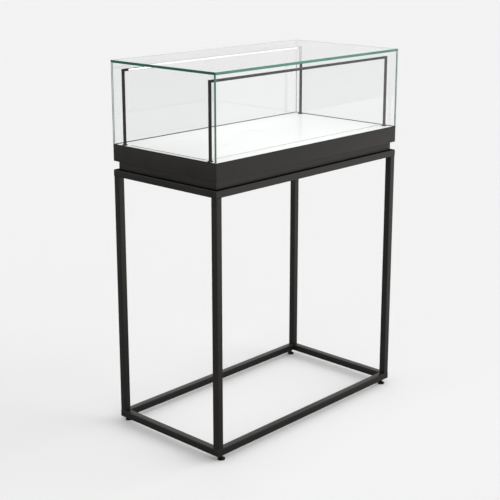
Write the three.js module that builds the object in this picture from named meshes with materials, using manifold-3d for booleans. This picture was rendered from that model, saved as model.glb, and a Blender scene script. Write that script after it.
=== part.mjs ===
// Pedestal display case: a glass hood with two light frames over a white deck, on an open steel stand.
// Millimetres, +Z up. The origin is on the floor, under the middle of the case; the front faces -Y.
import * as THREE from 'three';
import { mergeVertices } from 'three/addons/utils/BufferGeometryUtils.js';
import Module from 'manifold-3d';

const wasm = await Module();
wasm.setup();

// ---------------------------------------------------------------- driving dimensions

// Plan of the stand, the tray and the hood, which are flush with each other
const CASE_LENGTH = 960;
const CASE_DEPTH = 500;

// Stand: welded square tube
const STAND_HEIGHT = 925;
const TUBE_SIZE = 25;
const TUBE_WALL = 1.5;
const TUBE_CORNER_RADIUS = 2.5;

// Levelling feet, screwed into threaded inserts in the long base rails
const FOOT_GAP = 18;
const FOOT_END_INSET = 27;
const PAD_RADIUS = 13;
const PAD_RIM_HEIGHT = 5;
const PAD_EDGE_RADIUS = 1.5;
const PAD_UNDER_CHAMFER = 0.5;
const HUB_RADIUS = 6.5;
const HUB_HEIGHT = 4;
const HUB_SWEEP_RADIUS = 3.2;
const SOCKET_DEPTH = 6;
const STUD_RADIUS = 4;
const STUD_CHAMFER = 0.8;
const STUD_ENGAGEMENT = 16;
const INSERT_WALL = 1.5;
const INSERT_DEPTH = 13;
const INSERT_FLANGE_WIDTH = 2.5;
const INSERT_FLANGE_THICKNESS = 1;

// Plinth and tray: folded sheet
const SHEET = 1.5;
const FOLD_RADIUS = 0.8;
const WELDED_CORNER_RADIUS = 2;
const PLINTH_HEIGHT = 30;
const PLINTH_INSET = 13;
const PLINTH_FLANGE = 14;
const TRAY_HEIGHT = 58;
const TRAY_RIM_WIDTH = 8;
const TRAY_FLANGE = 27;
const COVER_THICKNESS = 1.2;

// Bolts through the long top rails into weld nuts on the plinth
const BOLT_END_INSET = 180;
const BOLT_RADIUS = 2;
const BOLT_HEAD_RADIUS = 3.5;
const BOLT_HEAD_HEIGHT = 2.2;
const BOLT_CROWN_RADIUS = 2.5;
const BOLT_CROWN_HEIGHT = 1.5;
const BOLT_SOCKET_RADIUS = 1.45;
const BOLT_SOCKET_DEPTH = 1.3;
const WELD_NUT_RADIUS = 4;
const WELD_NUT_HEIGHT = 3.2;

// Deck: a board on two ledge angles, flush with the rim, and a display panel let into it that stands proud
const DECK_THICKNESS = 12;
const LEDGE_WIDTH = 16;
const LEDGE_HEIGHT = 14;
const PANEL_THICKNESS = 4;
const PANEL_RISE = 2;
const PANEL_END_MARGIN = 28;
const PANEL_SIDE_MARGIN = 66;
const PANEL_SEAM = 0.6;

// Glass hood
const SEAL_THICKNESS = 1;
const HOOD_HEIGHT = 290;
const WALL_GLASS = 6;
const TOP_GLASS = 8;
const GLASS_ARRIS = 0.8;

// Light frames: square profile, two posts and a bar each
const LIGHT_HEAD_GAP = 21;
const LIGHT_PROFILE = 8;
const LIGHT_WALL = 0.9;
const POST_CORNER_RADIUS = 0.6;
const POST_END_INSET = 20;
const POST_SIDE_INSET = 43;
const POST_FOOT_RADIUS = 9.5;
const POST_FOOT_HEIGHT = 2.5;
const POST_FOOT_CHAMFER = 0.8;
const WIRE_HOLE_RADIUS = 2.5;
const CONNECTOR_LENGTH = 26;
const SPIGOT_LENGTH = 10;
const HOOK_DEPTH = 0.5;
const HOOK_LENGTH = 0.8;
const HOOK_SETBACK = 0.9;
const DIFFUSER_FACE = 0.7;
const DIFFUSER_LEG = 0.7;
const STRIP_THICKNESS = 1;
const CHIP_PITCH = 30;
const CHIP_SIZE = 2.8;
const CHIP_HEIGHT = 0.8;

// Driver on the plinth's cover, and the low-voltage inlet in the plinth's back
const DRIVER_LENGTH = 118;
const DRIVER_WIDTH = 42;
const DRIVER_HEIGHT = 20;
const DRIVER_CORNER_RADIUS = 3;
const DRIVER_EAR = 12;
const DRIVER_EAR_WIDTH = 21;
const DRIVER_EAR_THICKNESS = 3;
const DRIVER_SLOT_RADIUS = 2.2;
const DRIVER_SET_BACK = 90;
const DRIVER_TO_INLET = 190;
const INLET_END_INSET = 100;
const INLET_FLANGE_RADIUS = 7;
const INLET_FLANGE_THICKNESS = 2;
const INLET_BARREL_RADIUS = 5;
const INLET_BARREL_LENGTH = 14;
const INLET_BORE_RADIUS = 2.8;
const INLET_BORE_DEPTH = 10;
const INLET_PIN_RADIUS = 1;
const INLET_PIN_RECESS = 1;

// Clearances
const RUNNING_GAP = 0.3;
const FITTING_GAP = 0.5;
const CUT_MARGIN = 1;

// ---------------------------------------------------------------- derived levels and places

const BASE_BOTTOM = FOOT_GAP;
const BASE_TOP = BASE_BOTTOM + TUBE_SIZE;
const STAND_TOP = BASE_BOTTOM + STAND_HEIGHT;
const TOP_RAIL_BOTTOM = STAND_TOP - TUBE_SIZE;
const TRAY_BOTTOM = STAND_TOP + PLINTH_HEIGHT;
const RIM_TOP = TRAY_BOTTOM + TRAY_HEIGHT;
const DECK_TOP = RIM_TOP;
const DECK_BOTTOM = DECK_TOP - DECK_THICKNESS;
const PANEL_TOP = DECK_TOP + PANEL_RISE;
const PANEL_BOTTOM = PANEL_TOP - PANEL_THICKNESS;
const HOOD_BOTTOM = RIM_TOP + SEAL_THICKNESS;
const HOOD_TOP = HOOD_BOTTOM + HOOD_HEIGHT;
const WALL_TOP = HOOD_TOP - TOP_GLASS;
const BAR_TOP = WALL_TOP - LIGHT_HEAD_GAP;
const BAR_BOTTOM = BAR_TOP - LIGHT_PROFILE;
const COVER_TOP = STAND_TOP + SHEET + COVER_THICKNESS;

const PAD_HEIGHT = PAD_RIM_HEIGHT + HUB_HEIGHT;
const INSERT_RADIUS = STUD_RADIUS + RUNNING_GAP + INSERT_WALL;
const BOLT_X = CASE_LENGTH / 2 - BOLT_END_INSET;
const BOLT_INSET = PLINTH_INSET + SHEET + WELD_NUT_RADIUS + FITTING_GAP;
const INLET_X = CASE_LENGTH / 2 - INLET_END_INSET;
const POST_X = CASE_LENGTH / 2 - POST_END_INSET;
const POST_Y = CASE_DEPTH / 2 - POST_SIDE_INSET;
const BAR_LENGTH = 2 * (POST_X + LIGHT_PROFILE / 2 - CONNECTOR_LENGTH);

const ENDS = [['left', -1], ['right', 1]];
const SIDES = [['front', -1], ['back', 1]];

// Flats round a large round, a middling one, a small one and a hexagon, and steps in a quarter turn
const LARGE_ROUND = 24;
const ROUND = 16;
const SMALL_ROUND = 12;
const HEXAGON = 6;
const CORNER_STEPS = 3;
const SWEEP_STEPS = 4;
const FOLD_STEPS = 2;

// ---------------------------------------------------------------- finishes

function finish(color, roughness, metalness, extra = {}) {
  return new THREE.MeshStandardMaterial({ color, roughness, metalness, ...extra });
}

const FINISH = {
  powderCoat: finish(0x2b2b2a, 0.55, 0.2),
  anodised: finish(0x242322, 0.4, 0.6),
  blackOxide: finish(0x1c1c1d, 0.4, 0.9),
  blackPlastic: finish(0x121212, 0.6, 0),
  deckWhite: finish(0xf4f4f2, 0.45, 0),
  panelWhite: finish(0xf8f8f7, 0.3, 0),
  rubber: finish(0x1d1d1d, 0.85, 0),
  diffuser: finish(0xffffff, 0.4, 0, { emissive: 0xffffff, emissiveIntensity: 0.6 }),
  strip: finish(0xe9e9e4, 0.5, 0),
  glass: finish(0xd6ebe2, 0.05, 0, { transparent: true, opacity: 0.3 }),
};

// ---------------------------------------------------------------- solids and outlines

function toSolid(geometry) {
  const bare = geometry.clone();
  bare.deleteAttribute('normal');
  bare.deleteAttribute('uv');
  const merged = mergeVertices(bare, 1e-4);
  const mesh = new wasm.Mesh({
    numProp: 3,
    vertProperties: new Float32Array(merged.attributes.position.array),
    triVerts: new Uint32Array(merged.index.array),
  });
  return new wasm.Manifold(mesh);
}

function toGeometry(solid) {
  const mesh = solid.getMesh();
  const geometry = new THREE.BufferGeometry();
  geometry.setAttribute('position', new THREE.BufferAttribute(new Float32Array(mesh.vertProperties), 3));
  geometry.setIndex(new THREE.BufferAttribute(new Uint32Array(mesh.triVerts), 1));
  const flat = geometry.toNonIndexed();
  flat.computeVertexNormals();
  return flat;
}

function join(...geometries) {
  return toGeometry(geometries.map(toSolid).reduce((whole, next) => whole.add(next)));
}

function cut(geometry, ...tools) {
  return toGeometry(tools.map(toSolid).reduce((rest, tool) => rest.subtract(tool), toSolid(geometry)));
}

// A box between two opposite corners.
function block(x0, x1, y0, y1, z0, z1) {
  const geometry = new THREE.BoxGeometry(x1 - x0, y1 - y0, z1 - z0);
  return geometry.translate((x0 + x1) / 2, (y0 + y1) / 2, (z0 + z1) / 2);
}

// A block with the case's plan, drawn in by an inset.
function insetBlock(inset, bottom, top) {
  const x = CASE_LENGTH / 2 - inset;
  const y = CASE_DEPTH / 2 - inset;
  return block(-x, x, -y, y, bottom, top);
}

// An upright cylinder with its foot at a level.
function upright(x, y, bottom, radius, height, sides = SMALL_ROUND) {
  const geometry = new THREE.CylinderGeometry(radius, radius, height, sides);
  return geometry.rotateX(Math.PI / 2).translate(x, y, bottom + height / 2);
}

// A solid of revolution about +Z, from [radius, height] pairs.
function revolve(profile, sides = ROUND) {
  const points = profile.map(([radius, height]) => new THREE.Vector2(radius, height));
  return new THREE.LatheGeometry(points, sides).rotateX(Math.PI / 2);
}

function drawRoundedRect(path, x, y, width, height, radius) {
  path.moveTo(x + radius, y);
  path.lineTo(x + width - radius, y);
  path.absarc(x + width - radius, y + radius, radius, -Math.PI / 2, 0, false);
  path.lineTo(x + width, y + height - radius);
  path.absarc(x + width - radius, y + height - radius, radius, 0, Math.PI / 2, false);
  path.lineTo(x + radius, y + height);
  path.absarc(x + radius, y + height - radius, radius, Math.PI / 2, Math.PI, false);
  path.lineTo(x, y + radius);
  path.absarc(x + radius, y + radius, radius, Math.PI, 1.5 * Math.PI, false);
  return path;
}

// Square tube section with its outer corner at 0,0.
function tubeSection(size, wall, radius) {
  const section = drawRoundedRect(new THREE.Shape(), 0, 0, size, size, radius);
  const innerRadius = radius - wall;
  const innerSize = size - 2 * wall;
  section.holes.push(drawRoundedRect(new THREE.Path(), wall, wall, innerSize, innerSize, innerRadius));
  return section;
}

function polygon(points) {
  return new THREE.Shape(points.map(([x, y]) => new THREE.Vector2(x, y)));
}

function extrude(section, depth, options = {}) {
  return new THREE.ExtrudeGeometry(section, {
    depth,
    bevelEnabled: false,
    curveSegments: CORNER_STEPS,
    ...options,
  });
}

// Lays a section (inward, up) along X, centred on X = 0.
function lengthOf(section, length) {
  const lengthwise = new THREE.Matrix4().makeBasis(
    new THREE.Vector3(0, 1, 0),
    new THREE.Vector3(0, 0, 1),
    new THREE.Vector3(1, 0, 0),
  );
  return extrude(section, length).applyMatrix4(lengthwise).translate(-length / 2, 0, 0);
}

// Slopes both ends of a length at 45 degrees, from its full outer face.
function mitre(geometry, length) {
  const position = geometry.attributes.position;
  for (let i = 0; i < position.count; i += 1) {
    const end = Math.sign(position.getX(i));
    position.setX(i, end * (length / 2 - position.getY(i)));
  }
  geometry.computeVertexNormals();
  return geometry;
}

// A block with rounded upright corners and softened folds above and below.
function foldedBlock(inset, bottom, top) {
  const length = CASE_LENGTH - 2 * inset;
  const depth = CASE_DEPTH - 2 * inset;
  const corner = WELDED_CORNER_RADIUS;
  const outline = drawRoundedRect(new THREE.Shape(), -length / 2, -depth / 2, length, depth, corner);
  const solid = extrude(outline, top - bottom - 2 * FOLD_RADIUS, {
    bevelEnabled: true,
    bevelThickness: FOLD_RADIUS,
    bevelSize: FOLD_RADIUS,
    bevelOffset: -FOLD_RADIUS,
    bevelSegments: FOLD_STEPS,
  });
  return solid.translate(0, 0, bottom + FOLD_RADIUS);
}

// A glass pane lying in XY from z = 0, with ground arrises.
function pane(width, height, thickness) {
  const arris = GLASS_ARRIS;
  const outline = polygon([
    [-width / 2, -height / 2],
    [width / 2, -height / 2],
    [width / 2, height / 2],
    [-width / 2, height / 2],
  ]);
  const solid = extrude(outline, thickness - 2 * arris, {
    bevelEnabled: true,
    bevelThickness: arris,
    bevelSize: arris,
    bevelOffset: -arris,
    bevelSegments: 1,
  });
  return solid.translate(0, 0, arris);
}

function piece(parent, name, geometry, material) {
  const mesh = new THREE.Mesh(geometry, material);
  mesh.name = name;
  parent.add(mesh);
  return mesh;
}

// ---------------------------------------------------------------- stand

// The four rails of a rectangle, each turned so that its section's inward side faces the middle.
function railPlaces() {
  return [
    { side: 'front', length: CASE_LENGTH, turn: 0, x: 0, y: -CASE_DEPTH / 2 },
    { side: 'right', length: CASE_DEPTH, turn: Math.PI / 2, x: CASE_LENGTH / 2, y: 0 },
    { side: 'back', length: CASE_LENGTH, turn: Math.PI, x: 0, y: CASE_DEPTH / 2 },
    { side: 'left', length: CASE_DEPTH, turn: -Math.PI / 2, x: -CASE_LENGTH / 2, y: 0 },
  ];
}

function footHoles() {
  const radius = INSERT_RADIUS + RUNNING_GAP;
  const height = TUBE_WALL + 2 * CUT_MARGIN;
  return ENDS.map(([, end]) => {
    const x = end * (CASE_LENGTH / 2 - FOOT_END_INSET);
    return upright(x, TUBE_SIZE / 2, -CUT_MARGIN, radius, height, ROUND);
  });
}

function boltHoles() {
  const height = TUBE_SIZE + 2 * CUT_MARGIN;
  return ENDS.map(([, end]) => (
    upright(end * BOLT_X, BOLT_INSET, -CUT_MARGIN, BOLT_RADIUS + RUNNING_GAP, height)
  ));
}

function addRailRectangle(parent, prefix, level, longRailHoles) {
  const section = tubeSection(TUBE_SIZE, TUBE_WALL, TUBE_CORNER_RADIUS);
  for (const place of railPlaces()) {
    const plain = mitre(lengthOf(section, place.length), place.length);
    const isLong = place.side === 'front' || place.side === 'back';
    const geometry = isLong ? cut(plain, ...longRailHoles()) : plain;
    const rail = piece(parent, `${prefix}_${place.side}`, geometry, FINISH.powderCoat);
    rail.position.set(place.x, place.y, level);
    rail.rotation.z = place.turn;
  }
}

function addLegs(parent) {
  const section = tubeSection(TUBE_SIZE, TUBE_WALL, TUBE_CORNER_RADIUS);
  const geometry = extrude(section, TOP_RAIL_BOTTOM - BASE_TOP).translate(-TUBE_SIZE / 2, -TUBE_SIZE / 2, 0);
  for (const [side, sy] of SIDES) {
    for (const [end, sx] of ENDS) {
      const leg = piece(parent, `leg_${side}_${end}`, geometry, FINISH.powderCoat);
      const x = sx * (CASE_LENGTH - TUBE_SIZE) / 2;
      const y = sy * (CASE_DEPTH - TUBE_SIZE) / 2;
      leg.position.set(x, y, BASE_TOP);
    }
  }
}

function makeStand() {
  const stand = new THREE.Group();
  addRailRectangle(stand, 'base_rail', BASE_BOTTOM, footHoles);
  addLegs(stand);
  addRailRectangle(stand, 'top_rail', TOP_RAIL_BOTTOM, boltHoles);
  return stand;
}

// ---------------------------------------------------------------- levelling feet

function insertGeometry() {
  const bore = STUD_RADIUS + RUNNING_GAP;
  const flange = INSERT_RADIUS + INSERT_FLANGE_WIDTH;
  return revolve([
    [bore, -INSERT_FLANGE_THICKNESS],
    [flange, -INSERT_FLANGE_THICKNESS],
    [flange, 0],
    [INSERT_RADIUS, 0],
    [INSERT_RADIUS, INSERT_DEPTH],
    [bore, INSERT_DEPTH],
    [bore, -INSERT_FLANGE_THICKNESS],
  ]);
}

function studGeometry() {
  const bottom = PAD_HEIGHT - SOCKET_DEPTH;
  const top = FOOT_GAP + STUD_ENGAGEMENT;
  const tip = STUD_RADIUS - STUD_CHAMFER;
  return revolve([
    [0, bottom],
    [tip, bottom],
    [STUD_RADIUS, bottom + STUD_CHAMFER],
    [STUD_RADIUS, top - STUD_CHAMFER],
    [tip, top],
    [0, top],
  ]);
}

// A wide pad with a rounded rim, swept up in a hollow curve to the hub that holds the stud.
function padGeometry() {
  const socket = STUD_RADIUS + RUNNING_GAP;
  const profile = [[0, 0], [PAD_RADIUS - PAD_UNDER_CHAMFER, 0], [PAD_RADIUS, PAD_UNDER_CHAMFER]];
  for (let i = 0; i <= CORNER_STEPS; i += 1) {
    const angle = (Math.PI / 2) * (i / CORNER_STEPS);
    const radius = PAD_RADIUS - PAD_EDGE_RADIUS * (1 - Math.cos(angle));
    profile.push([radius, PAD_RIM_HEIGHT - PAD_EDGE_RADIUS * (1 - Math.sin(angle))]);
  }
  for (let i = 0; i <= SWEEP_STEPS; i += 1) {
    const angle = (Math.PI / 2) * (i / SWEEP_STEPS);
    const radius = HUB_RADIUS + HUB_SWEEP_RADIUS * (1 - Math.sin(angle));
    profile.push([radius, PAD_RIM_HEIGHT + HUB_SWEEP_RADIUS * (1 - Math.cos(angle))]);
  }
  profile.push([HUB_RADIUS, PAD_HEIGHT]);
  profile.push([socket, PAD_HEIGHT]);
  profile.push([socket, PAD_HEIGHT - SOCKET_DEPTH]);
  profile.push([0, PAD_HEIGHT - SOCKET_DEPTH]);
  return revolve(profile, LARGE_ROUND);
}

function makeFeet() {
  const feet = new THREE.Group();
  for (const [side, sy] of SIDES) {
    for (const [end, sx] of ENDS) {
      const foot = new THREE.Group();
      foot.position.set(sx * (CASE_LENGTH / 2 - FOOT_END_INSET), sy * (CASE_DEPTH - TUBE_SIZE) / 2, 0);
      const insert = piece(foot, `foot_insert_${side}_${end}`, insertGeometry(), FINISH.blackOxide);
      insert.position.z = BASE_BOTTOM;
      piece(foot, `foot_stud_${side}_${end}`, studGeometry(), FINISH.blackOxide);
      piece(foot, `foot_pad_${side}_${end}`, padGeometry(), FINISH.blackPlastic);
      feet.add(foot);
    }
  }
  return feet;
}

// ---------------------------------------------------------------- plinth

function boltPlaces() {
  return SIDES.flatMap(([side, sy]) => ENDS.map(([end, sx]) => ({
    name: `${side}_${end}`,
    x: sx * BOLT_X,
    y: sy * (CASE_DEPTH / 2 - BOLT_INSET),
  })));
}

// A channel ring with its web outside and its flanges inside, bored for the bolts and the inlet.
function plinthGeometry() {
  const web = PLINTH_INSET + SHEET;
  const outer = foldedBlock(PLINTH_INSET, STAND_TOP, TRAY_BOTTOM);
  const hollow = insetBlock(web, STAND_TOP + SHEET, TRAY_BOTTOM - SHEET);
  const opening = insetBlock(PLINTH_INSET + PLINTH_FLANGE, STAND_TOP - CUT_MARGIN, TRAY_BOTTOM + CUT_MARGIN);
  const ring = cut(outer, hollow, opening);
  const seat = STAND_TOP + SHEET / 2;
  const boreDepth = SHEET + WELD_NUT_HEIGHT + 2 * CUT_MARGIN;
  const nuts = boltPlaces().map(({ x, y }) => (
    upright(x, y, seat, WELD_NUT_RADIUS, SHEET / 2 + WELD_NUT_HEIGHT, HEXAGON)
  ));
  const bores = boltPlaces().map(({ x, y }) => (
    upright(x, y, STAND_TOP - CUT_MARGIN, BOLT_RADIUS + RUNNING_GAP, boreDepth)
  ));
  const inletHole = new THREE.CylinderGeometry(
    INLET_BARREL_RADIUS + RUNNING_GAP,
    INLET_BARREL_RADIUS + RUNNING_GAP,
    SHEET + 2 * CUT_MARGIN,
    ROUND,
  );
  inletHole.translate(INLET_X, CASE_DEPTH / 2 - PLINTH_INSET - SHEET / 2, STAND_TOP + PLINTH_HEIGHT / 2);
  return cut(join(ring, ...nuts), ...bores, inletHole);
}

function coverGeometry() {
  const bottom = STAND_TOP + SHEET;
  const plate = insetBlock(PLINTH_INSET + SHEET + FITTING_GAP, bottom, COVER_TOP);
  const holeDepth = COVER_THICKNESS + 2 * CUT_MARGIN;
  const nutHoles = boltPlaces().map(({ x, y }) => (
    upright(x, y, bottom - CUT_MARGIN, WELD_NUT_RADIUS + FITTING_GAP, holeDepth)
  ));
  return cut(plate, ...nutHoles);
}

// Button-head bolt with a hexagon socket, pointing up, its head under z = 0.
function boltGeometry() {
  const length = TUBE_SIZE + SHEET + WELD_NUT_HEIGHT;
  const solid = revolve([
    [0, -BOLT_HEAD_HEIGHT],
    [BOLT_CROWN_RADIUS, -BOLT_HEAD_HEIGHT],
    [BOLT_HEAD_RADIUS, BOLT_CROWN_HEIGHT - BOLT_HEAD_HEIGHT],
    [BOLT_HEAD_RADIUS, 0],
    [BOLT_RADIUS, 0],
    [BOLT_RADIUS, length],
    [0, length],
  ], SMALL_ROUND);
  const depth = BOLT_SOCKET_DEPTH + CUT_MARGIN;
  const socket = upright(0, 0, -BOLT_HEAD_HEIGHT - CUT_MARGIN, BOLT_SOCKET_RADIUS, depth, HEXAGON);
  return cut(solid, socket);
}

function makePlinth() {
  const plinth = new THREE.Group();
  piece(plinth, 'plinth_ring', plinthGeometry(), FINISH.powderCoat);
  piece(plinth, 'plinth_cover', coverGeometry(), FINISH.powderCoat);
  for (const { name, x, y } of boltPlaces()) {
    const bolt = piece(plinth, `plinth_bolt_${name}`, boltGeometry(), FINISH.blackOxide);
    bolt.position.set(x, y, TOP_RAIL_BOTTOM);
  }
  return plinth;
}

// ---------------------------------------------------------------- tray and deck

function trayGeometry() {
  const outer = foldedBlock(0, TRAY_BOTTOM, RIM_TOP);
  const hollow = insetBlock(SHEET, TRAY_BOTTOM + SHEET, RIM_TOP - SHEET);
  const middle = (TRAY_BOTTOM + RIM_TOP) / 2;
  const rimOpening = insetBlock(TRAY_RIM_WIDTH, middle, RIM_TOP + CUT_MARGIN);
  const bottomOpening = insetBlock(TRAY_FLANGE, TRAY_BOTTOM - CUT_MARGIN, middle);
  return cut(outer, hollow, rimOpening, bottomOpening);
}

// Angle with its upright leg on the tray's wall and its shelf under the deck.
function ledgeGeometry() {
  const section = polygon([
    [0, -LEDGE_HEIGHT],
    [SHEET, -LEDGE_HEIGHT],
    [SHEET, -SHEET],
    [LEDGE_WIDTH, -SHEET],
    [LEDGE_WIDTH, 0],
    [0, 0],
  ]);
  return lengthOf(section, CASE_LENGTH - 2 * (SHEET + FITTING_GAP));
}

function deckGeometry() {
  const board = insetBlock(TRAY_RIM_WIDTH + FITTING_GAP, DECK_BOTTOM, DECK_TOP);
  const pocketX = CASE_LENGTH / 2 - PANEL_END_MARGIN + PANEL_SEAM;
  const pocketY = CASE_DEPTH / 2 - PANEL_SIDE_MARGIN + PANEL_SEAM;
  const pocket = block(-pocketX, pocketX, -pocketY, pocketY, PANEL_BOTTOM, DECK_TOP + CUT_MARGIN);
  const holeDepth = DECK_THICKNESS + 2 * CUT_MARGIN;
  const holes = ENDS.flatMap(([, sx]) => SIDES.map(([, sy]) => (
    upright(sx * POST_X, sy * POST_Y, DECK_BOTTOM - CUT_MARGIN, WIRE_HOLE_RADIUS, holeDepth)
  )));
  return cut(board, pocket, ...holes);
}

function makeTray() {
  const tray = new THREE.Group();
  piece(tray, 'tray_shell', trayGeometry(), FINISH.powderCoat);
  for (const [side, sy] of SIDES) {
    const ledge = piece(tray, `deck_ledge_${side}`, ledgeGeometry(), FINISH.powderCoat);
    ledge.position.set(0, sy * (CASE_DEPTH / 2 - SHEET), DECK_BOTTOM);
    ledge.rotation.z = sy > 0 ? Math.PI : 0;
  }
  piece(tray, 'deck_board', deckGeometry(), FINISH.deckWhite);
  const panelX = CASE_LENGTH / 2 - PANEL_END_MARGIN;
  const panelY = CASE_DEPTH / 2 - PANEL_SIDE_MARGIN;
  const panel = block(-panelX, panelX, -panelY, panelY, PANEL_BOTTOM, PANEL_TOP);
  piece(tray, 'display_panel', panel, FINISH.panelWhite);
  return tray;
}

// ---------------------------------------------------------------- glass hood

function sealGeometry() {
  const outer = insetBlock(0, RIM_TOP, HOOD_BOTTOM);
  return cut(outer, insetBlock(WALL_GLASS, RIM_TOP - CUT_MARGIN, HOOD_BOTTOM + CUT_MARGIN));
}

function makeHood() {
  const hood = new THREE.Group();
  const wallHeight = WALL_TOP - HOOD_BOTTOM;
  const middle = (WALL_TOP + HOOD_BOTTOM) / 2;
  for (const [side, sy] of SIDES) {
    const wall = piece(hood, `glass_${side}`, pane(CASE_LENGTH, wallHeight, WALL_GLASS), FINISH.glass);
    wall.rotation.x = Math.PI / 2;
    wall.position.set(0, (sy * CASE_DEPTH) / 2 + (sy < 0 ? WALL_GLASS : 0), middle);
  }
  for (const [end, sx] of ENDS) {
    const width = CASE_DEPTH - 2 * WALL_GLASS;
    const wall = piece(hood, `glass_${end}`, pane(wallHeight, width, WALL_GLASS), FINISH.glass);
    wall.rotation.y = Math.PI / 2;
    wall.position.set((sx * CASE_LENGTH) / 2 - (sx > 0 ? WALL_GLASS : 0), 0, middle);
  }
  const top = piece(hood, 'glass_top', pane(CASE_LENGTH, CASE_DEPTH, TOP_GLASS), FINISH.glass);
  top.position.z = WALL_TOP;
  return hood;
}

// ---------------------------------------------------------------- light frames

// Square tube on a round foot, bored from end to end for the wire.
function postGeometry() {
  const half = LIGHT_PROFILE / 2;
  const height = BAR_BOTTOM - DECK_TOP;
  const size = LIGHT_PROFILE;
  const outline = drawRoundedRect(new THREE.Shape(), -half, -half, size, size, POST_CORNER_RADIUS);
  const column = extrude(outline, height);
  const foot = revolve([
    [0, 0],
    [POST_FOOT_RADIUS, 0],
    [POST_FOOT_RADIUS, POST_FOOT_HEIGHT - POST_FOOT_CHAMFER],
    [POST_FOOT_RADIUS - POST_FOOT_CHAMFER, POST_FOOT_HEIGHT],
    [0, POST_FOOT_HEIGHT],
  ], LARGE_ROUND);
  const inner = half - LIGHT_WALL;
  const bore = block(-inner, inner, -inner, inner, -CUT_MARGIN, height + CUT_MARGIN);
  return cut(join(column, foot), bore);
}

// Corner connector: a block over the post, with one spigot down into it and one along into the bar.
// The bar lies on the side of the post that the direction names, +1 or -1 along X.
function connectorGeometry(direction) {
  const half = LIGHT_PROFILE / 2;
  const spigot = half - LIGHT_WALL - RUNNING_GAP;
  const shoulder = CONNECTOR_LENGTH - half;
  const spigotFront = half - HOOK_SETBACK - HOOK_LENGTH - DIFFUSER_LEG - FITTING_GAP - RUNNING_GAP;
  const lengthwise = (near, far) => (direction > 0 ? [near, far] : [-far, -near]);
  const body = block(...lengthwise(-half, shoulder), -half, half, 0, LIGHT_PROFILE);
  const down = block(-spigot, spigot, -spigot, spigot, -SPIGOT_LENGTH, half);
  const reach = lengthwise(0, shoulder + SPIGOT_LENGTH);
  const along = block(...reach, -spigot, spigotFront, half - spigot, half + spigot);
  return join(body, down, along);
}

// Channel that opens inward, with a hook on each lip for the diffuser.
function channelSection() {
  const size = LIGHT_PROFILE;
  const wall = LIGHT_WALL;
  const hookFront = size - HOOK_SETBACK;
  const hookBack = hookFront - HOOK_LENGTH;
  const lowHook = wall + HOOK_DEPTH;
  return polygon([
    [0, 0],
    [size, 0],
    [size, wall],
    [hookFront, wall],
    [hookFront, lowHook],
    [hookBack, lowHook],
    [hookBack, wall],
    [wall, wall],
    [wall, size - wall],
    [hookBack, size - wall],
    [hookBack, size - lowHook],
    [hookFront, size - lowHook],
    [hookFront, size - wall],
    [size, size - wall],
    [size, size],
    [0, size],
  ]);
}

// Opal cover: a face in the channel's mouth and two legs whose barbs catch behind the hooks.
function diffuserSection() {
  const size = LIGHT_PROFILE;
  const low = LIGHT_WALL + RUNNING_GAP;
  const legLow = LIGHT_WALL + HOOK_DEPTH + RUNNING_GAP;
  const legHigh = legLow + DIFFUSER_LEG;
  const back = size - HOOK_SETBACK + RUNNING_GAP;
  const face = back + DIFFUSER_FACE;
  const barbFront = size - HOOK_SETBACK - HOOK_LENGTH - RUNNING_GAP;
  const barbBack = barbFront - DIFFUSER_LEG;
  return polygon([
    [face, low],
    [face, size - low],
    [back, size - low],
    [back, size - legLow],
    [barbFront, size - legLow],
    [barbFront, size - low],
    [barbBack, size - legHigh],
    [back, size - legHigh],
    [back, legHigh],
    [barbBack, legHigh],
    [barbFront, low],
    [barbFront, legLow],
    [back, legLow],
    [back, low],
  ]);
}

// Circuit strip on the channel's back wall, with a row of chips facing the diffuser.
function stripGeometry() {
  const length = BAR_LENGTH - 2 * (SPIGOT_LENGTH + FITTING_GAP);
  const low = LIGHT_WALL + RUNNING_GAP;
  const front = LIGHT_WALL + STRIP_THICKNESS;
  const tape = block(-length / 2, length / 2, LIGHT_WALL, front, low, LIGHT_PROFILE - low);
  const count = Math.floor((length - CHIP_SIZE) / CHIP_PITCH);
  const half = CHIP_SIZE / 2;
  const z = LIGHT_PROFILE / 2;
  const chips = [];
  for (let i = 0; i <= count; i += 1) {
    const x = (i - count / 2) * CHIP_PITCH;
    chips.push(block(x - half, x + half, LIGHT_WALL + FITTING_GAP, front + CHIP_HEIGHT, z - half, z + half));
  }
  return join(tape, ...chips);
}

// Two posts, two connectors, and the bar with what it holds. The bar's mouth faces the middle of the case.
function makeLightFrame(side, sy) {
  const frame = new THREE.Group();
  frame.position.set(0, sy * POST_Y, 0);
  frame.rotation.z = sy > 0 ? Math.PI : 0;
  for (const [end, sx] of ENDS) {
    const local = -sy * sx;
    const post = piece(frame, `light_post_${side}_${end}`, postGeometry(), FINISH.anodised);
    post.position.set(local * POST_X, 0, DECK_TOP);
    const shape = connectorGeometry(-local);
    const corner = piece(frame, `light_corner_${side}_${end}`, shape, FINISH.blackPlastic);
    corner.position.set(local * POST_X, 0, BAR_BOTTOM);
  }
  const lengths = [
    [`light_bar_${side}`, lengthOf(channelSection(), BAR_LENGTH), FINISH.anodised],
    [`light_diffuser_${side}`, lengthOf(diffuserSection(), BAR_LENGTH), FINISH.diffuser],
    [`led_strip_${side}`, stripGeometry(), FINISH.strip],
  ];
  for (const [name, geometry, material] of lengths) {
    piece(frame, name, geometry, material).position.set(0, -LIGHT_PROFILE / 2, BAR_BOTTOM);
  }
  return frame;
}

// ---------------------------------------------------------------- driver and inlet

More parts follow.
